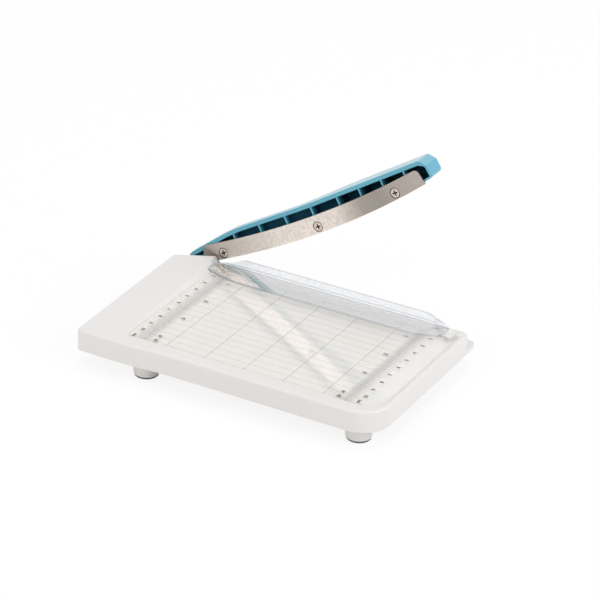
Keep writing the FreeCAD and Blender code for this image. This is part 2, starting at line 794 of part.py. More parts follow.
def spring_washer():
    """Dished spring that presses the arm towards the bed knife."""
    start = bolt_seat() + AXIAL_PLAY + WASHER_THICK
    rise = SPRING_THICK - SPRING_GAUGE
    inner, outer = BOLT_RADIUS + LOOSE_FIT, SPRING_RADIUS
    points = [(outer, 0), (outer, SPRING_GAUGE), (inner, SPRING_GAUGE + rise), (inner, rise)]
    corners = [Vec(pivot_x + r, start + y, pivot_z) for r, y in points]
    face = Part.Face(Part.makePolygon(corners + corners[:1]))
    return face.revolve(Vec(pivot_x, 0, pivot_z), Vec(0, 1, 0), 360)


def friction_washer():
    return ring(FRICTION_RADIUS, BOLT_RADIUS + LOOSE_FIT, base_rear, arm_front - AXIAL_PLAY)


def pivot_nut():
    """Lock nut in the slot of the lug."""
    seat = base_rear - NUT_SEAT
    body = hexagon(NUT_FLATS, NUT_HEIGHT, pivot_x, pivot_z, seat - NUT_HEIGHT)
    low = seat - NUT_HEIGHT
    collar = pin(NUT_COLLAR_RADIUS, pivot_x, pivot_z, low - NUT_COLLAR, low)
    return body.fuse(collar).cut(pin(BOLT_RADIUS, pivot_x, pivot_z, seat - LUG_REACH, seat + OVER))


# Arm

def raised(shape):
    """Moves a shape from the flat drawing to its place on the pivot, with the arm raised."""
    placed = shape.copy()
    placed.translate(Vec(pivot_x, 0, pivot_z))
    placed.rotate(Vec(pivot_x, 0, pivot_z), Vec(0, -1, 0), REST_ANGLE)
    return placed


def edge_height(u):
    """Height of the cutting edge at station u, on an arc that is lowest at the belly."""
    return BLADE_EDGE_RADIUS - BLADE_DROP - math.sqrt(BLADE_EDGE_RADIUS ** 2 - (u - BLADE_BELLY) ** 2)


def back_height(u):
    """Height of the blade's upper edge at station u."""
    low = BLADE_WIDTH - BLADE_DROP
    return low + BLADE_BACK_RADIUS - math.sqrt(BLADE_BACK_RADIUS ** 2 - (u - BLADE_BELLY) ** 2)


def arc_through(height, start, end):
    points = [upright(u, height(u)) for u in (start, (start + end) / 2, end)]
    return Part.Arc(*points).toShape()


def above_edge(margin):
    """Disc whose lower rim runs along the cutting edge, drawn in by a margin."""
    radius = BLADE_EDGE_RADIUS - margin
    centre = upright(BLADE_BELLY, BLADE_EDGE_RADIUS - BLADE_DROP)
    return Part.Face(Part.Wire(Part.makeCircle(radius, centre, Vec(0, 1, 0))))


def arm_outline(top_wall, low_wall, tip_wall):
    """Side view of the arm from its hub to its tip, drawn in by the given walls."""
    tip = ARM_LENGTH - tip_wall
    tip_low = edge_height(ARM_LENGTH)
    tip_top = tip_low + ARM_TIP_DEPTH
    below = -HUB_RADIUS - BLADE_WIDTH
    outline = rounded_wire([
        (-ARM_ROOT, HUB_RADIUS - HUB_MERGE - top_wall, 0),
        (-ARM_ROOT, below, 0),
        (tip - GRIP_DEPTH, below, 0),
        (tip, tip_low + low_wall, SMALL_ROUND),
        (tip - TIP_LEAN, tip_top - TIP_CHAMFER, TIP_ROUND),
        (tip - TIP_CHAMFER_RUN, tip_top - top_wall, TIP_ROUND),
        (ARM_WAIST, ARM_WAIST_HEIGHT - top_wall, ARM_WAIST_BEND),
        (ARM_HEEL_END, ARM_HEEL_HEIGHT - top_wall, ARM_HEEL_BEND),
    ], upright)
    return Part.Face(outline).common(above_edge(BLADE_EDGE_MARGIN + low_wall))


def arm_depth(back_wall):
    """Plan of the arm: shallow behind the blade, deeper at the grip."""
    return [
        (-HUB_RADIUS, arm_front - OVER, 0),
        (ARM_LENGTH + OVER, arm_front - OVER, 0),
        (ARM_LENGTH + OVER, grip_rear - back_wall, 0),
        (GRIP_FULL, grip_rear - back_wall, GRIP_BEND),
        (GRIP_START, arm_rear - back_wall, GRIP_BEND),
        (-HUB_RADIUS, arm_rear - back_wall, 0),
    ]


def arm_body(face, back_wall):
    solid = face.extrude(Vec(0, GRIP_DEPTH + OVER, 0))
    solid.translate(Vec(0, arm_front, 0))
    return solid.common(slab(arm_depth(back_wall), -ARM_LENGTH, ARM_LENGTH))


def rib_stations():
    stations = [RIB_FIRST + i * RIB_SPACING for i in range(RIB_COUNT)]
    for _ in range(RIB_TIP_COUNT):
        stations.append(stations[-1] + RIB_TIP_SPACING)
    return stations


def screw_point(u):
    """Centre of a blade screw at station u, a fixed height above the cutting edge."""
    return upright(u, edge_height(u) + SCREW_HEIGHT)


def along_low_side(edge):
    """Whether both ends of an edge lie on the arc of the arm's lower side."""
    height = BLADE_EDGE_RADIUS - BLADE_DROP
    reaches = [math.hypot(end.X - BLADE_BELLY, end.Z - height) for end in edge.Vertexes]
    return all(abs(reach - BLADE_EDGE_RADIUS + BLADE_EDGE_MARGIN) < NEAR for reach in reaches)


def rear_edges(body, low):
    """Edges round the arm's rear face: those of its lower side, or those over its top and tip."""
    found = edges_near(body, lambda b: b.YMin > arm_rear - NEAR and min(b.XLength, b.ZLength) > NEAR)
    return [edge for edge in found if along_low_side(edge) == low]


def arm_shell():
    """Outside of the arm, with its rear edges rounded."""
    body = arm_body(arm_outline(0, 0, 0), 0)
    body = body.makeFillet(ARM_BACK_ROUND, rear_edges(body, False))
    body = body.makeFillet(ARM_BACK_ROUND, rear_edges(body, True))
    hub = pin(HUB_RADIUS, 0, 0, arm_front, hub_rear)
    hub = hub.makeFillet(ARM_BACK_ROUND / 2, edges_near(hub, lambda b: b.YMin > hub_rear - NEAR))
    return body.fuse(hub)


def arm_handle():
    """Ribbed moulding, open towards the blade."""
    floor = bolt_seat()
    room = arm_body(arm_outline(ARM_TOP_WALL, ARM_LOW_WALL, ARM_TIP_WALL), ARM_BACK_WALL)
    hub_room = pin(HUB_RADIUS - ARM_TOP_WALL, 0, 0, arm_front, floor - ARM_BACK_WALL)
    bore_radius = BOLT_RADIUS + RUNNING_GAP + BUSH_WALL
    shell = arm_shell()
    solid = shell.cut(room.fuse(hub_room))
    for u in rib_stations():
        rib = box(u - RIB_THICK / 2, u + RIB_THICK / 2, arm_front + RIB_SETBACK, grip_rear,
                  -ARM_LENGTH, ARM_LENGTH)
        solid = solid.fuse(rib.common(room))
    for u in (HEEL_SCREW, MIDDLE_SCREW, TIP_SCREW):
        spot = screw_point(u)
        boss = pin(SCREW_BOSS_RADIUS, spot.x, spot.z, arm_front, grip_rear)
        solid = solid.fuse(boss.common(shell))
        solid = solid.cut(pin(SCREW_RADIUS, spot.x, spot.z, 0, arm_front + BLADE_SCREW_PILOT))
    solid = solid.fuse(pin(bore_radius + HUB_TUBE_WALL, 0, 0, arm_front, floor))
    solid = solid.cut(pin(bore_radius, 0, 0, 0, hub_rear + OVER))
    solid = solid.cut(pin(RECESS_RADIUS, 0, 0, floor, hub_rear + OVER))
    return raised(solid.removeSplitter())


def pivot_bush():
    bore = BOLT_RADIUS + RUNNING_GAP
    sleeve = pin(bore + BUSH_WALL, 0, 0, arm_front, bolt_seat())
    return raised(sleeve.cut(pin(bore, 0, 0, 0, hub_rear)))


def blade():
    """Curved blade, ground on its rear face."""
    heel_start = BLADE_HEEL + BLADE_HEEL_LEAN
    heel_top = upright(heel_start, back_height(heel_start))
    heel_low = upright(heel_start, edge_height(heel_start))
    tip_back = BLADE_TIP - BLADE_TIP_LEAN
    tip_top = upright(tip_back, back_height(tip_back))
    tip_low = upright(BLADE_TIP, edge_height(BLADE_TIP))
    heel = upright(BLADE_HEEL, BLADE_HEEL_HEIGHT)
    edges = [
        arc_through(edge_height, heel_start, BLADE_TIP),
        Part.LineSegment(tip_low, tip_top).toShape(),
        arc_through(back_height, tip_back, heel_start),
        Part.LineSegment(heel_top, heel).toShape(),
        Part.LineSegment(heel, heel_low).toShape(),
    ]
    solid = Part.Face(Part.Wire(edges)).extrude(Vec(0, BLADE_THICK, 0))
    middle = (heel_top.z + heel.z) / 2
    top_corners = edges_near(solid, lambda b: b.XLength < NEAR and b.ZLength < NEAR
                             and b.ZMin > middle)
    solid = solid.makeFillet(BLADE_CORNER, top_corners)
    lip = edges_near(solid, lambda b: b.YMin > BLADE_THICK - NEAR and b.XLength > BLADE_TIP / 2
                     and b.ZMin < 0)
    solid = solid.makeChamfer(BLADE_GRIND, lip)
    for u in (HEEL_SCREW, MIDDLE_SCREW, TIP_SCREW):
        spot = screw_point(u)
        hole = screw_hole(SCREW_RADIUS + RUNNING_GAP, 0, 0, 0, BLADE_THICK + OVER)
        hole.rotate(Vec(0, 0, 0), Vec(1, 0, 0), 90)
        solid = solid.cut(at(hole, spot.x, 0, spot.z))
    return raised(solid)


def blade_screws():
    one = flat_screw(BLADE_SCREW_LENGTH)
    one.rotate(Vec(0, 0, 0), Vec(1, 0, 0), 90)
    solids = []
    for u in (HEEL_SCREW, MIDDLE_SCREW, TIP_SCREW):
        spot = screw_point(u)
        solids.append(raised(at(one, spot.x, HEAD_SINK, spot.z)))
    return solids


def write(name, shape):
    solids = shape if isinstance(shape, list) else [shape]
    whole = Part.makeCompound(solids) if len(solids) > 1 else solids[0]
    whole.translate(Vec(-origin_x, -origin_y, -standing_level))
    whole.exportStep("parts/%s.step" % name)
    extent = whole.BoundBox
    print("%-18s solids %d valid %s volume %9.1f  x %7.2f %7.2f  y %7.2f %7.2f  z %7.2f %7.2f" % (
        name, len(whole.Solids), whole.isValid(), whole.Volume,
        extent.XMin, extent.XMax, extent.YMin, extent.YMax, extent.ZMin, extent.ZMax))


os.makedirs("parts", exist_ok=True)
write("base_housing", base_housing())
write("bottom_cover", bottom_cover())
write("cover_screws", cover_screws())
write("grid_card", grid_card())
write("table_plate", table_plate())
write("bed_knife", bed_knife())
write("bed_knife_screws", bed_knife_screws())
write("guard", guard())
write("guard_screws", guard_screws())
foot_names = ("front_left", "front_right", "rear_left", "rear_right")
for name, (x, y) in zip(foot_names, foot_places()):
    write("foot_" + name, foot(x, y))
    write("foot_pad_" + name, foot_pad(x, y))
write("foot_screws", foot_screws())
write("pivot_bolt", pivot_bolt())
write("pivot_washer", pivot_washer())
write("spring_washer", spring_washer())
write("friction_washer", friction_washer())
write("pivot_nut", pivot_nut())
write("pivot_bush", pivot_bush())
write("arm_handle", arm_handle())
write("blade", blade())
write("blade_screws", blade_screws())
print("pivot", pivot_x - origin_x, -origin_y, pivot_z - standing_level)
print("origin", origin_x, origin_y, standing_level)
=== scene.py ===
"""Small desk paper trimmer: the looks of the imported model, piece by piece."""
import math

import bpy
from mathutils import Matrix, Vector


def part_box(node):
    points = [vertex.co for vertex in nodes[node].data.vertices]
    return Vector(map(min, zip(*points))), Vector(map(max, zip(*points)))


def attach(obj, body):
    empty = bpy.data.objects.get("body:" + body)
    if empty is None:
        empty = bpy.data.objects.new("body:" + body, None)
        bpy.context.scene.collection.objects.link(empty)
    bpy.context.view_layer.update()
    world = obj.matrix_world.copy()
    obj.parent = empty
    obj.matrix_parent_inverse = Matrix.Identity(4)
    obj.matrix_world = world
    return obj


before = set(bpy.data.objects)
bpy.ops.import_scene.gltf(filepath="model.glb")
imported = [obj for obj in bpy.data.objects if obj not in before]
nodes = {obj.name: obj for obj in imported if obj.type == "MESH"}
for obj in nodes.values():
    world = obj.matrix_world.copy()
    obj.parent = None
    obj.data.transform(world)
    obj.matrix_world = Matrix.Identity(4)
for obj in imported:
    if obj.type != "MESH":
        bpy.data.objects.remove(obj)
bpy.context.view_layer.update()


# Base housing.
# One injection moulding in off-white styrene with a satin tool finish: the raised block at the
# left, the rim round the table, and the low rail behind the cut with its well for the blade.

MM = 0.001


class Shade:
    """A shader value or colour that takes part in Python expressions."""

    def __init__(self, paint, socket):
        self.paint = paint
        self.socket = socket

    def math(self, operation, *values, **settings):
        return self.paint.node("ShaderNodeMath", dict(enumerate(values)),
                               operation=operation, **settings)

    def __add__(self, other):
        return self.math("ADD", self, other)

    __radd__ = __add__

    def __sub__(self, other):
        return self.math("SUBTRACT", self, other)

    def __rsub__(self, other):
        return self.math("SUBTRACT", other, self)

    def __mul__(self, other):
        return self.math("MULTIPLY", self, other)

    __rmul__ = __mul__

    def __truediv__(self, other):
        return self.math("DIVIDE", self, other)

    def __gt__(self, other):
        return self.math("GREATER_THAN", self, other)

    def __lt__(self, other):
        return self.math("LESS_THAN", self, other)

    def __abs__(self):
        return self.math("ABSOLUTE", self)

    def fraction(self):
        return self.math("FRACT", self)

    def clamped(self):
        return self.math("ADD", self, 0.0, use_clamp=True)


class Paint:
    """One material or world, put together node by node."""

    def __init__(self, name, kind=bpy.data.materials):
        self.block = kind.new(name)
        self.block.use_nodes = True
        self.tree = self.block.node_tree
        self.tree.nodes.clear()

    def node(self, kind, sockets=None, output=0, stops=None, **settings):
        made = self.tree.nodes.new(kind)
        for name, value in settings.items():
            setattr(made, name, value)
        if stops:
            elements = made.color_ramp.elements
            while len(elements) < len(stops):
                elements.new(1.0)
            for element, (place, colour) in zip(elements, stops):
                element.position = place
                element.color = colour
        for name, value in (sockets or {}).items():
            if isinstance(value, Shade):
                self.tree.links.new(value.socket, made.inputs[name])
            else:
                made.inputs[name].default_value = value
        return Shade(self, made.outputs[output]) if made.outputs else None

    def place(self):
        """Where a point lies on the piece at rest, in metres."""
        return self.node("ShaderNodeTexCoord", output="Object")

    def axes(self, vector=None):
        """The three parts of a vector, or of a point's place."""
        split = self.node("ShaderNodeSeparateXYZ", {"Vector": vector or self.place()})
        outputs = split.socket.node.outputs
        return [Shade(self, outputs[i]) for i in range(3)]

    def facing(self):
        """The three parts of the direction a point's surface faces."""
        return self.axes(self.node("ShaderNodeTexCoord", output="Normal"))

    def noise(self, scale, detail=2.0, stretch=(1, 1, 1), roughness=0.5):
        """Soft mottle from 0 to 1, with about scale patches to the metre."""
        where = self.node("ShaderNodeMapping", {"Vector": self.place(), "Scale": stretch})
        return self.node("ShaderNodeTexNoise", {
            "Vector": where, "Scale": scale, "Detail": detail, "Roughness": roughness})

    def mix(self, share, one, other):
        """Colour one where share is 0 and the other where it is 1."""
        return self.node("ShaderNodeMix", {0: share, 6: one, 7: other}, output=2,
                         data_type="RGBA")

    def bump(self, height, depth, strength):
        """Relief that follows a height from 0 to 1, with its depth in millimetres."""
        return self.node("ShaderNodeBump", {
            "Height": height, "Distance": depth * MM, "Strength": strength})

    def matt(self, colour):
        return self.node("ShaderNodeBsdfDiffuse", {"Color": colour})

    def layer(self, share, under, over):
        """Shader under where share is 0 and over where it is 1."""
        return self.node("ShaderNodeMixShader", {0: share, 1: under, 2: over})

    def surface(self, sockets):
        """Finishes the material as one Principled surface."""
        self.show(self.node("ShaderNodeBsdfPrincipled", sockets))
        return self.block

    def show(self, shader, kind="ShaderNodeOutputMaterial"):
        self.node(kind, {"Surface": shader})


def tone(red, green, blue):
    """A colour as it is seen on screen, turned into the light that makes it."""
    def channel(value):
        value /= 255
        return value / 12.92 if value <= 0.04045 else ((value + 0.055) / 1.055) ** 2.4
    return (channel(red), channel(green), channel(blue), 1.0)


def dress(name, material):
    """Gives every slot of a CAD node its material."""
    mesh = nodes[name].data
    if not mesh.materials:
        mesh.materials.append(material)
    for index in range(len(mesh.materials)):
        mesh.materials[index] = material


def moulded_plastic(name, colour, shade, grain, roughness):
    """Moulded plastic with the fine grain of its tool and a slow drift of colour."""
    paint = Paint(name)
    drift = paint.noise(14, detail=3)
    fine = paint.noise(grain, detail=2)
    return paint.surface({
        "Base Color": paint.mix(drift, colour, shade),
        "Roughness": roughness + 0.08 * (fine - 0.5),
        "Normal": paint.bump(fine, depth=0.02, strength=0.25),
    })


dress("base_housing", moulded_plastic("housing_styrene", tone(222, 220, 219), tone(217, 215, 213),
                                      grain=2600, roughness=0.34))


# Bottom cover and its two countersunk screws.
# A flat moulded plate in light grey with a coarser spark-eroded finish, let into the base from
# below. All the plated screws of the base share their finish with these two.

def plated_steel(name, colour, roughness):
    """Plated screw steel: even metal, a little dulled, with faint turning marks."""
    paint = Paint(name)
    dull = paint.noise(900, detail=3)
    return paint.surface({
        "Base Color": paint.mix(dull, colour, tone(120, 116, 112)),
        "Metallic": 1.0,
        "Roughness": roughness + 0.2 * (dull - 0.5),
        "Normal": paint.bump(dull, depth=0.01, strength=0.3),
    })


dress("bottom_cover", moulded_plastic("cover_styrene", tone(214, 213, 211), tone(206, 205, 203),
                                      grain=1500, roughness=0.5))
screw_finish = plated_steel("screw_plating", tone(206, 202, 196), roughness=0.28)
for name in ("cover_screws", "foot_screws", "guard_screws", "bed_knife_screws"):
    dress(name, screw_finish)


# Feet with their rubber pads.
# Tapered light grey mouldings, each with a black rubber pad pressed in below, whose face is
# finely ribbed by its mould.

PAD_RIB_PITCH = 0.8 * MM

foot_finish = moulded_plastic("foot_styrene", tone(212, 211, 208), tone(205, 203, 201),
                              grain=2200, roughness=0.3)
pad_paint = Paint("pad_rubber")
pad_ribs = abs((pad_paint.axes()[0] / PAD_RIB_PITCH).fraction() - 0.5)
pad_dust = pad_paint.noise(350, detail=4)
pad_finish = pad_paint.surface({
    "Base Color": pad_paint.mix(pad_dust, tone(62, 62, 63), tone(92, 91, 90)),
    "Roughness": 0.62 + 0.2 * pad_dust,
    "Normal": pad_paint.bump(pad_ribs, depth=0.08, strength=0.5),
})
for corner in ("front_left", "front_right", "rear_left", "rear_right"):
    dress("foot_" + corner, foot_finish)
    dress("foot_pad_" + corner, pad_finish)


# Grid card.
# Plain white card between the base's deck and the clear plate. It gives the plate's printed grid
# a white ground.

card_paint = Paint("white_card")
card_fibre = card_paint.noise(3000)
card_cloud = card_paint.noise(60, detail=3)
dress("grid_card", card_paint.surface({
    "Base Color": card_paint.mix(card_cloud, tone(234, 231, 229), tone(230, 226, 222)),
    "Roughness": 0.5 + 0.1 * card_fibre,
    "Normal": card_paint.bump(card_fibre, depth=0.01, strength=0.2),
}))


# Table plate.
# A clear acrylic sheet over the card, with a raised edge at the left and at the right. Its upper
# faces are printed in grey: figures along both sides, and hairlines every quarter inch across
# the tray and every inch along it. It is polished, with faint scratches from use.

INCH = 25.4 * MM
CUT_Y = 51.9 * MM
RULER_ZERO_X = -63.9 * MM
plate_low, plate_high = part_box("table_plate")
PLATE_TOP = plate_high.z
TRAY_TOP = PLATE_TOP - 1.0 * MM
TRAY_LEFT = RULER_ZERO_X + 5.2 * MM
TRAY_RIGHT = RULER_ZERO_X + 136.0 * MM
STEP_REACH = 4 * MM
TRAY_SHADE = 6 * MM
RAISED_SHADE = 7 * MM
GLOW_DEPTH = 2.4 * MM
GLOW_LENGTH = 90 * MM
PRINT_X = RULER_ZERO_X - 1.0 * MM
PRINT_Y = CUT_Y + 2.2 * MM
FIRST_INCH = 21.2 * MM
# A face is level where more than this part of its direction points up, and a point is at a
# height where it lies this close to it.
LEVEL = 0.9
CLOSE = 0.2 * MM


def clear_plastic(paint, tint, frost, frosted, haze, stretch):
    """Clear polished plastic: it shines more the flatter it is looked at, is clear elsewhere,
    and has a dull frosted colour where its share is 1."""
    scratches = paint.noise(240, detail=5, stretch=stretch, roughness=0.7)
    shine = paint.node("ShaderNodeBsdfPrincipled", {
        "Base Color": tone(236, 238, 240),
        "Metallic": 1.0,
        "Roughness": 0.06 + 0.01 * scratches,
    })
    through = paint.node("ShaderNodeBsdfTransparent", {"Color": tint})
    flatness = paint.node("ShaderNodeLayerWeight", {"Blend": 0.5}, output="Facing")
    share = haze + 0.9 * flatness.math("POWER", flatness, 5.0)
    dull = paint.node("ShaderNodeBsdfPrincipled", {
        "Base Color": frost,
        "Roughness": 0.4 + 0.2 * scratches,
    })
    return paint.layer(frosted, paint.layer(share.clamped(), through, shine), dull)


def hairlines(coordinate, first, pitch, width):
    """Share of ink of thin parallel lines across a coordinate."""
    nearest = abs((((coordinate - first) / pitch) + 0.5).fraction() - 0.5) * pitch
    return 1 - ((nearest - width / 2) / (width / 2)).clamped()


def between(coordinate, low, high):
    """1 where a coordinate lies between two values, and 0 elsewhere."""
    return (coordinate > low) * (coordinate < high)


def step_foot(gap):
    """Share of painted shade on both sides of a raised edge's foot; the gap is positive on the
    tray.
    """
    tray_side = 0.75 - gap / TRAY_SHADE
    return tray_side.math("MINIMUM", tray_side, 1 + gap / RAISED_SHADE).clamped()


plate_paint = Paint("table_acrylic")
plate_x, plate_y, plate_z = plate_paint.axes()
facing_x, _, facing_up = plate_paint.facing()
upper = (facing_up > LEVEL) * (plate_z > TRAY_TOP - CLOSE)
on_tray = upper * between(plate_x, TRAY_LEFT, TRAY_RIGHT) * (plate_z < TRAY_TOP + CLOSE)
raised = upper * (1 - on_tray)
upright = between(facing_up, -LEVEL, LEVEL)
tray_step = upright * between(plate_x, TRAY_LEFT - STEP_REACH, TRAY_RIGHT + STEP_REACH) \
    * (abs(facing_x) > 0.5)
sawn_edge = upright * (1 - tray_step)
# Painted shade on the plate beside the feet of its raised edges.
painted_step_shade = 0.55 * (step_foot(plate_x - TRAY_LEFT) + step_foot(TRAY_RIGHT - plate_x)) \
    * (facing_up > 0.1)
# Painted glow of light on the top along the plate's front edge, strongest at its left end.
painted_edge_glow = upper * (1 - (plate_y - plate_low.y) / GLOW_DEPTH).clamped() \
    * (1 - (plate_x - TRAY_LEFT) / GLOW_LENGTH).clamped()
quarter_inch = hairlines(plate_y, PRINT_Y, INCH / 4, width=0.45 * MM)
whole_inch = hairlines(plate_x, PRINT_X + FIRST_INCH, INCH, width=0.36 * MM)
printed = (0.5 * quarter_inch + whole_inch).clamped() * on_tray \
    * (0.26 + 0.1 * plate_paint.noise(700))
plate = clear_plastic(plate_paint, (0.995, 0.995, 0.99, 1), frost=tone(234, 232, 226),
                      frosted=sawn_edge, haze=0.04, stretch=(1, 14, 1))
for share, colour in ((0.3 * raised + 0.3 * tray_step, tone(240, 239, 236)),
                      (painted_step_shade, tone(180, 178, 175)),
                      (painted_edge_glow, tone(220, 210, 192)),
                      (printed, tone(96, 96, 94))):
    plate = plate_paint.layer(share, plate, plate_paint.matt(colour))
plate_paint.show(plate)
dress("table_plate", plate_paint.block)

FIGURE_SIZE = 3.3 * MM
FIGURE_WEIGHT = 0.045
FIGURE_LIFT = 0.02 * MM
ink_paint = Paint("printing_ink")
ink_cover = ink_paint.noise(2400, detail=1)
ink_finish = ink_paint.surface({
    "Base Color": ink_paint.mix(ink_cover, tone(56, 56, 55), tone(76, 76, 75)),
    "Roughness": 0.5 + 0.1 * ink_cover,
})


def figure(text, x, y, level):
    """One printed figure or unit mark on the line x, which it reads along from y on."""
    curve = bpy.data.curves.new("figure", "FONT")
    curve.body = text
    curve.size = FIGURE_SIZE
    curve.align_x = "LEFT"
    curve.align_y = "CENTER"
    curve.offset = FIGURE_SIZE * FIGURE_WEIGHT
    curve.resolution_u = 3
    made = bpy.data.objects.new("figure", curve)
    bpy.context.scene.collection.objects.link(made)
    made.location = (x, y, level + FIGURE_LIFT)
    made.rotation_euler.z = math.radians(90)
    return made


def print_figures(name, figures):
    """Joins figures into one printed piece on the plate."""
    bpy.ops.object.select_all(action="DESELECT")
    for item in figures:
        item.select_set(True)
    bpy.context.view_layer.objects.active = figures[0]
    bpy.ops.object.convert(target="MESH")
    bpy.ops.object.join()
    joined = bpy.context.view_layer.objects.active
    joined.name = name
    joined.data.materials.clear()
    joined.data.materials.append(ink_finish)
    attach(joined, "base")


for side, cm_x, inch_x, cm_mark, inch_mark in (
        ("left", 0.9 * MM, 12.6 * MM, 111.0 * MM, 107.0 * MM),
        ("right", 145.5 * MM, 131.4 * MM, 109.4 * MM, 107.0 * MM)):
    cm_x += PRINT_X
    inch_x += PRINT_X
    figures = [figure(str(k), cm_x, PRINT_Y - (k * 10 + 2.4) * MM, PLATE_TOP)
               for k in range(1, 11)]
    figures.append(figure("cm", cm_x - 1.0 * MM, PRINT_Y - cm_mark, PLATE_TOP))
    figures += [figure(str(k), inch_x, PRINT_Y - k * INCH + 0.2 * MM, TRAY_TOP)
                for k in range(1, 5)]
    figures.append(figure("in", inch_x, PRINT_Y - inch_mark, TRAY_TOP))
    print_figures("figures_" + side, figures)


# Bed knife.
# A bar of ground tool steel along the table's rear edge, with fine grinding marks along its
# length and two countersunk screws. Its colour is painted brightest at its left end, a painted
# highlight.

BRIGHT_END = 34 * MM


def ground_steel(paint, light, dark, grain, stretch, roughness):
    """Ground and polished steel with marks that run the way it was ground."""
    marks = paint.noise(grain, detail=4, stretch=stretch, roughness=0.6)
    cloud = paint.noise(45, detail=2)
    return paint.surface({
        "Base Color": paint.mix(0.5 * marks + 0.5 * cloud, light, dark),
        "Metallic": 1.0,
        "Roughness": roughness + 0.15 * (marks - 0.5),
        "Normal": paint.bump(marks, depth=0.01, strength=0.3),
    })


knife_paint = Paint("bed_knife_steel")
# Painted highlight: the steel's colour is brightest at its left end and fades to the right over
# BRIGHT_END; dulled is the share of this fade.
dulled = ((knife_paint.axes()[0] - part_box("bed_knife")[0].x) / BRIGHT_END).clamped()
knife_highlight = knife_paint.mix(dulled, tone(252, 243, 236), tone(206, 201, 198))
dress("bed_knife", ground_steel(knife_paint, knife_highlight, tone(186, 181, 177),
                                grain=2200, stretch=(0.06, 1, 1), roughness=0.12))


# Guard.
# Clear styrene moulding with an upright lip along its rear edge, held by two pegs in the plate.
# It is polished and carries faint moulding flow. Its front edge and its lip are painted darker, a
# painted shade and reflection.

FROSTED_END = 4.5 * MM
FADE_LENGTH = 60 * MM
FRONT_SETBACK = 12 * MM
FRONT_TOP = 3 * MM
LIP_DEPTH = 3 * MM
LIP_FOOT_FRONT = 2.7 * MM
LIP_FOOT_REAR = 1.4 * MM
LIP_CREST = 1.2 * MM
LIP_RISE = 2 * MM

guard_low, guard_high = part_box("guard")
guard_paint = Paint("guard_styrene")
guard_x, guard_y, guard_z = guard_paint.axes()
_, guard_forward, guard_up = guard_paint.facing()
in_hole = guard_z < PLATE_TOP - 0.05 * MM
right_end = guard_x > guard_high.x - FROSTED_END
front_edge = (guard_forward < -0.5) * (guard_y < guard_high.y - FRONT_SETBACK) \
    * (guard_z < PLATE_TOP + FRONT_TOP)
fading = 0.7 - ((guard_x - guard_low.x) / FADE_LENGTH).clamped() * 0.5
lip_foot = (guard_up > LEVEL) * between(guard_y, guard_high.y - LIP_FOOT_FRONT,
                                        guard_high.y - LIP_FOOT_REAR)
lip_top = (guard_up > 0.3) * (guard_z > guard_high.z - LIP_CREST)
lip_face = (guard_forward < -0.5) * (guard_y > guard_high.y - LIP_DEPTH)
flat_top = (guard_up > LEVEL) * (guard_z < guard_high.z - LIP_RISE)
# Painted shade and reflection along the front edge, strongest at the left, and on the lip.
painted_edge_shade = front_edge * fading + 0.4 * lip_foot + 0.3 * lip_top + 0.08 * lip_face
guard_clear = clear_plastic(guard_paint, (0.978, 0.981, 0.984, 1), frost=tone(233, 231, 227),
                            frosted=(in_hole + 0.6 * right_end).clamped(),
                            haze=0.06 + 0.2 * flat_top, stretch=(0.03, 6, 6))
painted_shade_colour = guard_paint.node("ShaderNodeBsdfPrincipled", {
    "Base Color": tone(134, 138, 154), "Roughness": 0.3})
guard_paint.show(guard_paint.layer(painted_edge_shade, guard_clear, painted_shade_colour))
dress("guard", guard_paint.block)


# Pivot.
# Socket-head bolt, plated washer, dished steel spring and lock nut, with a nylon friction
# washer between the base's lug and the arm's hub, and a brass bush in the hub.

dress("pivot_bolt", plated_steel("bolt_plating", tone(196, 193, 188), roughness=0.3))
dress("pivot_nut", plated_steel("nut_plating", tone(198, 194, 186), roughness=0.34))
dress("pivot_washer", plated_steel("washer_plating", tone(204, 201, 195), roughness=0.26))
dress("spring_washer", ground_steel(Paint("spring_steel"), tone(168, 163, 158),
                                    tone(140, 136, 132), grain=1800, stretch=(1, 1, 1),
                                    roughness=0.35))
dress("friction_washer", moulded_plastic("washer_nylon", tone(226, 222, 210),
                                         tone(218, 213, 200), grain=1800, roughness=0.45))
dress("pivot_bush", ground_steel(Paint("bush_brass"), tone(214, 178, 106), tone(190, 150, 84),
                                 grain=1500, stretch=(1, 0.1, 1), roughness=0.3))


# Arm.
# One moulding in light blue, open towards the blade, with a thin wall all round, cross ribs
# and bosses for the blade's screws. Its outside is satin, with a painted highlight on its top
# faces. Its cavity and the front of its hub are painted dark as painted shade, and the ribs are
# painted lighter near the opening as painted light.

ARM_TURN = math.radians(30.5)
PIVOT_X, PIVOT_Z = -85.4 * MM, 16.0 * MM
# These are in millimetres: stations along the arm and heights across it count from the pivot,
# and depths from the plane of the cut.
BELLY_STATION = 75
LOW_WALL_MIDDLE = 555.3
LOW_WALL_RADIUS = 558.1
ROOT_TOP, HEEL_RISE, HEEL_END = 8.6, 4.9, 32
GRIP_RISE, GRIP_START, GRIP_RUN = 3.9, 88, 87
CHAMFER_DROP, CHAMFER_START, CHAMFER_RUN = 4.2, 174.5, 4
CAVITY_END = 177.7
CAVITY_FRONT = 1.95
CAVITY_MARGIN = 1.2
RIB_FRONT, RIB_DEPTH = 1.8, 6.5
HUB_END, HUB_SHADE_TOP, HUB_FRONT = 26, 2, 3


def along_arm(paint):
    """Station along the arm, height across it and depth behind the cut, in millimetres."""
    x, y, z = paint.axes()
    across = (x - PIVOT_X) / MM
    rise = (z - PIVOT_Z) / MM
    station = across * math.cos(ARM_TURN) + rise * math.sin(ARM_TURN)
    height = rise * math.cos(ARM_TURN) - across * math.sin(ARM_TURN)
    return station, height, (y - CUT_Y) / MM


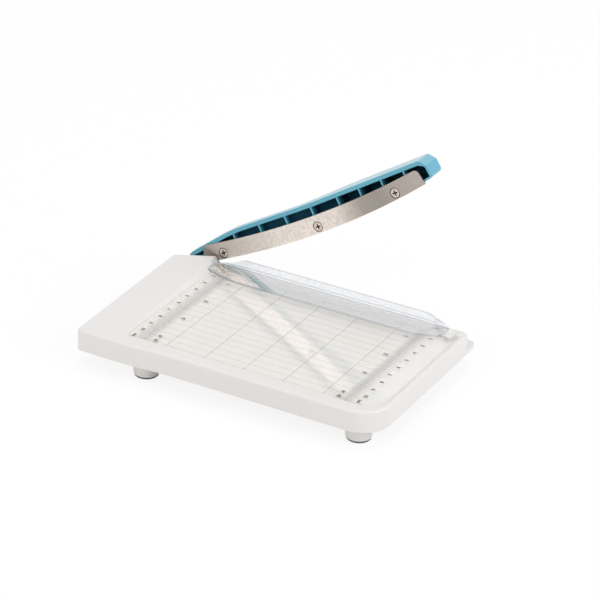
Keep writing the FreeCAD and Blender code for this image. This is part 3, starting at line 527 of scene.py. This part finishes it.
arm_paint = Paint("arm_styrene")
station, height, depth = along_arm(arm_paint)
below_middle = LOW_WALL_MIDDLE - height
off_belly = station - BELLY_STATION
above_low_wall = off_belly * off_belly + below_middle * below_middle < LOW_WALL_RADIUS ** 2
arm_top = ROOT_TOP + HEEL_RISE * (station / HEEL_END).clamped() \
    + GRIP_RISE * ((station - GRIP_START) / GRIP_RUN).clamped() \
    - CHAMFER_DROP * ((station - CHAMFER_START) / CHAMFER_RUN).clamped()
facing_x, facing_back, facing_z = arm_paint.facing()
facing_tip = facing_x * math.cos(ARM_TURN) + facing_z * math.sin(ARM_TURN)
facing_top = facing_z * math.cos(ARM_TURN) - facing_x * math.sin(ARM_TURN)
# Painted shade on the front of the hub below the blade's heel.
hub_painted_shade = (station < HUB_END) * (height < HUB_SHADE_TOP) * (depth < HUB_FRONT) \
    * (facing_back < -0.5)
inside = (depth > CAVITY_FRONT) * (facing_back < 0.3) * above_low_wall \
    * between(station, 0, CAVITY_END) * (height < arm_top - CAVITY_MARGIN)
# Painted light on the ribs' faces towards the tip, fading with depth into the cavity.
painted_rib_light = (facing_tip > 0.5) * (1 - (depth - RIB_FRONT) / RIB_DEPTH).clamped()
arm_drift = arm_paint.noise(14, detail=3)
arm_grain = arm_paint.noise(2400)
moulded = arm_paint.mix(arm_drift, tone(98, 172, 194), tone(90, 165, 188))
# Painted highlight: a paler colour on the faces that look up across the arm.
painted_top_highlight = 0.3 * ((facing_top - 0.5) / 0.45).clamped()
outer = arm_paint.mix(painted_top_highlight, moulded, tone(206, 220, 226))
# Painted shade in the cavity, lighter on the ribs' faces near the opening as painted light.
cavity_shade_and_light = arm_paint.mix(painted_rib_light * painted_rib_light, tone(0, 66, 88), tone(70, 172, 204))
dress("arm_handle", arm_paint.surface({
    "Base Color": arm_paint.mix((inside + 0.8 * hub_painted_shade).clamped(), outer, cavity_shade_and_light),
    "Roughness": 0.3 + 0.08 * (arm_grain - 0.5) + 0.5 * inside,
    "Specular IOR Level": 0.3,
    "Coat Weight": 0.4 * (1 - inside),
    "Coat Roughness": 0.12,
    "Normal": arm_paint.bump(arm_grain, depth=0.02, strength=0.25),
}))


# Blade and its screws.
# A curved strip of spring steel, satin ground on its front and sharpened from the rear, with a
# painted reflection along it. Three countersunk plated screws hold it to the arm; their recesses
# and the gaps round them are painted dark, a painted shade.

BLADE_REACH = 180
CLOUD_DRIFT = 16
RECESS_START = 0.3

blade_paint = Paint("blade_steel")
station = along_arm(blade_paint)[0]
blade_marks = blade_paint.noise(1400, detail=4, stretch=(1, 1, 0.25), roughness=0.6)
blade_cloud = blade_paint.noise(60, detail=3)
blade_speckle = blade_paint.noise(480, detail=3)
# Painted reflection: a band of colour along the blade, brightest near its middle and darker towards
# its ends.
reflection_place = (station + CLOUD_DRIFT * (blade_cloud - 0.5)) / BLADE_REACH
painted_reflection = blade_paint.node("ShaderNodeValToRGB", {"Fac": reflection_place}, stops=[
    (0.0, tone(152, 146, 139)), (0.08, tone(184, 177, 169)), (0.18, tone(214, 205, 197)),
    (0.34, tone(244, 237, 231)), (0.6, tone(240, 232, 226)), (0.7, tone(172, 166, 160)),
    (0.76, tone(160, 154, 148)), (0.86, tone(176, 169, 162)), (1.0, tone(190, 183, 176))])
speckled = (0.15 * blade_marks + 0.9 * (blade_speckle - 0.38)).clamped()
blade_face = blade_paint.mix(speckled, painted_reflection, tone(158, 150, 143))
# Painted shade on the countersinks round the blade's screws.
countersink_shade = between(blade_paint.facing()[1], -0.97, -0.3)
dress("blade", blade_paint.surface({
    "Base Color": blade_paint.mix(countersink_shade, blade_face, tone(52, 48, 45)),
    "Metallic": 1.0,
    "Roughness": 0.32 + 0.15 * (blade_marks - 0.5),
    "Normal": blade_paint.bump(blade_marks, depth=0.01, strength=0.3),
}))

head_paint = Paint("blade_screw_plating")
# Painted shade: every part of a screw deeper than its head's face is dark.
recess_shade = along_arm(head_paint)[2] > RECESS_START
head_wear = head_paint.noise(900, detail=3)
head_face = head_paint.mix(head_wear, tone(224, 213, 203), tone(198, 187, 177))
dress("blade_screws", head_paint.surface({
    "Base Color": head_paint.mix(recess_shade, head_face, tone(30, 27, 25)),
    "Metallic": 1.0,
    "Roughness": 0.26 + 0.2 * (head_wear - 0.5),
    "Normal": head_paint.bump(head_wear, depth=0.01, strength=0.3),
}))


# Stage.
# Pale floor that keeps a soft shadow and looks white to the camera, even white light from all
# round, and three square soft lamps: above, in front and at the right.

FLOOR_REACH = 6.0
FLOOR_WHITE = 0.86
ROOM_LIGHT = 0.62


def light_rays(paint):
    """Rays that see the background itself: from the camera, off gloss and through clear plastic."""
    path = paint.node("ShaderNodeLightPath")
    outputs = path.socket.node.outputs
    return [Shade(paint, outputs[name])
            for name in ("Is Camera Ray", "Is Glossy Ray", "Is Transmission Ray")]


def softbox(name, place, aim, size, watts, colour=(1, 1, 1)):
    """Square soft lamp that looks at a point."""
    data = bpy.data.lights.new(name, "AREA")
    data.size = size
    data.energy = watts
    data.color = colour
    lamp = bpy.data.objects.new(name, data)
    lamp.location = place
    lamp.rotation_euler = (Vector(aim) - Vector(place)).to_track_quat("-Z", "Y").to_euler()
    bpy.context.scene.collection.objects.link(lamp)


floor_mesh = bpy.data.meshes.new("floor")
floor_mesh.from_pydata([(-FLOOR_REACH, -FLOOR_REACH, 0), (FLOOR_REACH, -FLOOR_REACH, 0),
                        (FLOOR_REACH, FLOOR_REACH, 0), (-FLOOR_REACH, FLOOR_REACH, 0)],
                       [], [(0, 1, 2, 3)])
floor = bpy.data.objects.new("floor", floor_mesh)
bpy.context.scene.collection.objects.link(floor)
floor_paint = Paint("floor_white")
white = floor_paint.node("ShaderNodeEmission", {"Color": (1, 1, 1, 1), "Strength": 1.0})
seen = sum(light_rays(floor_paint), 0.0).clamped()
floor_paint.show(floor_paint.layer(FLOOR_WHITE * seen, floor_paint.matt((0.92, 0.92, 0.92, 1)),
                                   white))
floor_mesh.materials.append(floor_paint.block)

sky = Paint("studio", bpy.data.worlds)
strength = ROOM_LIGHT
for ray in light_rays(sky):
    strength = ray.math("MAXIMUM", ray, strength)
sky.show(sky.node("ShaderNodeBackground", {"Color": (1, 1, 1, 1), "Strength": strength}),
         kind="ShaderNodeOutputWorld")
bpy.context.scene.world = sky.block

softbox("lamp_above", (-0.2, 0.4, 1.6), (0, 0, 0), size=1.2, watts=8.0)
softbox("lamp_front", (-0.4, -1.6, 0.8), (0, 0, 0.03), size=1.0, watts=8.2,
        colour=(1, 0.945, 0.905))
softbox("lamp_right", (1.6, 0.1, 0.9), (0, 0, 0.03), size=1.0, watts=13.0)


# Camera.
# The photograph's view: a long lens in front of the table, to its right and above it, and
# turned a little about its own axis.

AZIMUTH, ELEVATION, ROLL = (math.radians(angle) for angle in (28.142, 27.679, 2.172))
CAMERA_PLACE = (0.69314, -1.27243, 0.79881)
HALF_PIXEL = 0.5 / 600

level = Vector((math.cos(AZIMUTH), math.sin(AZIMUTH), 0))
back = Vector((math.sin(AZIMUTH) * math.cos(ELEVATION), -math.cos(AZIMUTH) * math.cos(ELEVATION),
               math.sin(ELEVATION)))
upward = back.cross(level)
right = level * math.cos(ROLL) + upward * math.sin(ROLL)
up = upward * math.cos(ROLL) - level * math.sin(ROLL)
camera_data = bpy.data.cameras.new("camera")
camera_data.sensor_width = 36
camera_data.lens = 171.32
camera_data.shift_x = -HALF_PIXEL
camera_data.shift_y = HALF_PIXEL
camera = bpy.data.objects.new("camera", camera_data)
bpy.context.scene.collection.objects.link(camera)
camera.matrix_world = Matrix.Translation(CAMERA_PLACE) \
    @ Matrix((right, up, back)).transposed().to_4x4()
bpy.context.scene.camera = camera
bpy.context.scene.view_settings.view_transform = "Standard"
